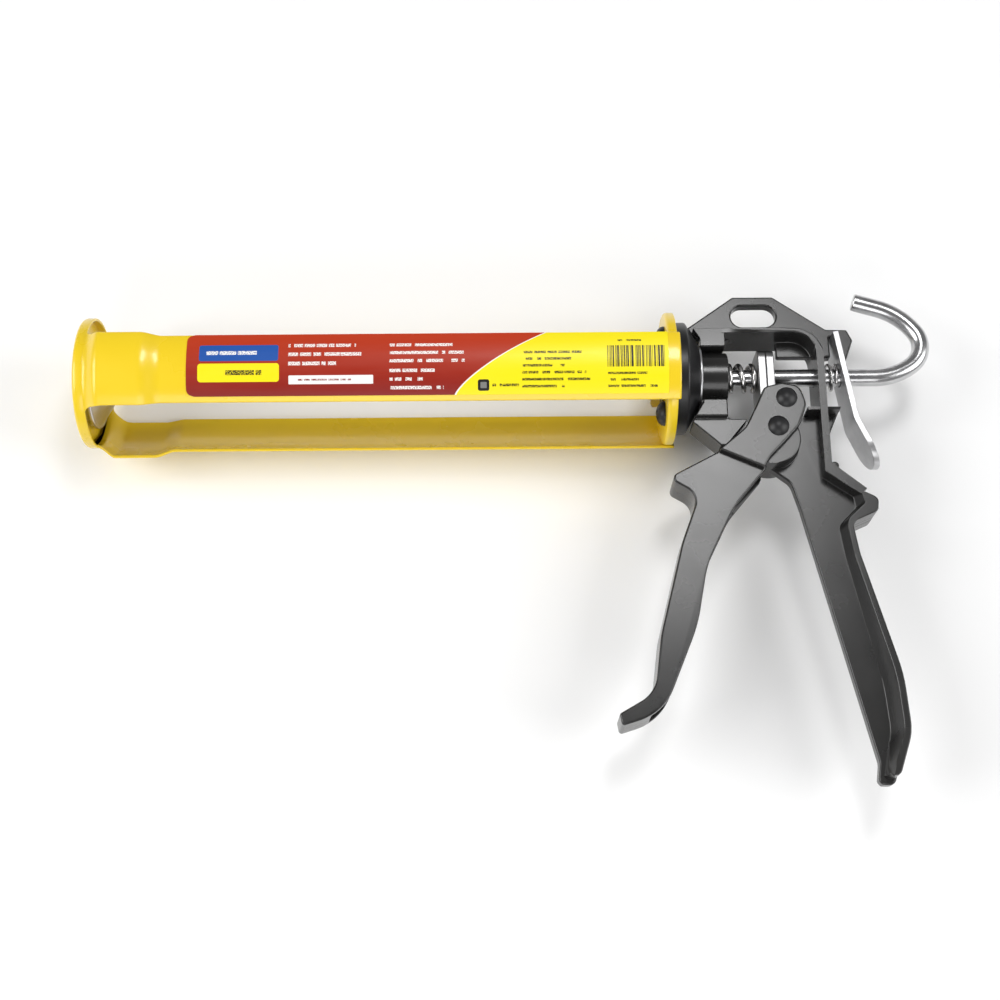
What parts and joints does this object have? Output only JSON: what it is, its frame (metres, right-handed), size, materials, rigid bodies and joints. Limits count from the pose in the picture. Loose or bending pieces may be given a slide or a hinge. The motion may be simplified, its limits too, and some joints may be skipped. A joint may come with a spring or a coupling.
{
  "type": "caulking gun",
  "caption": "Half-barrel caulking gun with a turning cradle, squeezed trigger, push rod with piston and pull hook, and a thumb release.",
  "frame": {"origin": "on the push rod's axis, at the rear pan's face that the cartridge rests against", "axes": "+X along the push rod towards the pull hook, +Y from the handles towards the hanging slot, +Z out of the side that carries the label"},
  "size_m": [0.3465, 0.2047, 0.0609],
  "materials": {
    "yellow_paint": "gloss paint on pressed sheet",
    "label_print": "printed adhesive film",
    "black_paint": "semi-gloss black paint on a light casting",
    "black_steel": "blackened steel",
    "zinc_steel": "bright zinc plate",
    "spring_steel": "drawn spring wire",
    "bright_steel": "bright drawn and plated steel"
  },
  "bodies": {
    "body": {"body_casting": "black_paint", "swivel_nut": "zinc_steel", "swivel_washer": "zinc_steel", "swivel_friction_ring": "zinc_steel", "drive_spring": "spring_steel", "release_spring": "spring_steel"},
    "cradle": {"cradle_frame": "yellow_paint", "cradle_rear_pan": "yellow_paint", "cradle_label": "label_print", "swivel_collar": "black_paint", "collar_screws": "black_steel"},
    "trigger": {"trigger": "black_paint", "pivot_rivet": "black_steel", "drive_pin": "black_steel"},
    "drive": {"drive_plate_front": "zinc_steel", "drive_plate_rear": "zinc_steel"},
    "catch": {"release_lever": "zinc_steel"},
    "piston": {"piston_plate": "bright_steel"},
    "rod": {"rod": "bright_steel", "piston_front_nut": "zinc_steel", "piston_rear_nut": "zinc_steel"}
  },
  "joints": [
    {"name": "cradle_swivel", "type": "hinge", "parent": "body", "child": "cradle", "pos_m": [0, 0, 0], "axis": [1, 0, 0], "continuous": true},
    {"name": "trigger_squeeze", "type": "hinge", "parent": "body", "child": "trigger", "pos_m": [0.0443, -0.0256, 0], "axis": [0, 0, 1], "range_deg": [0, 24], "stiffness_Nm_per_rad": 0.4, "springref_deg": -20.05},
    {"name": "drive_slide", "type": "slide", "parent": "body", "child": "drive", "axis": [-1, 0, 0], "range_m": [0, 0.0054], "deforming": ["drive_spring"]},
    {"name": "catch_release", "type": "hinge", "parent": "body", "child": "catch", "pos_m": [0.0708, 0.017, 0], "axis": [0, 0, 1], "range_deg": [-6, 0], "stiffness_Nm_per_rad": 0.05, "springref_deg": 22.92, "deforming": ["release_spring"]},
    {"name": "rod_slide", "type": "slide", "parent": "body", "child": "piston", "axis": [1, 0, 0], "range_m": [0, 0.215]},
    {"name": "rod_turn", "type": "hinge", "parent": "piston", "child": "rod", "pos_m": [0, 0, 0], "axis": [1, 0, 0], "range_deg": [-120, 120]}
  ],
  "couplings": [
    {"joint": "drive_slide", "follows": "trigger_squeeze", "m_per_rad": 0.01265}
  ]
}
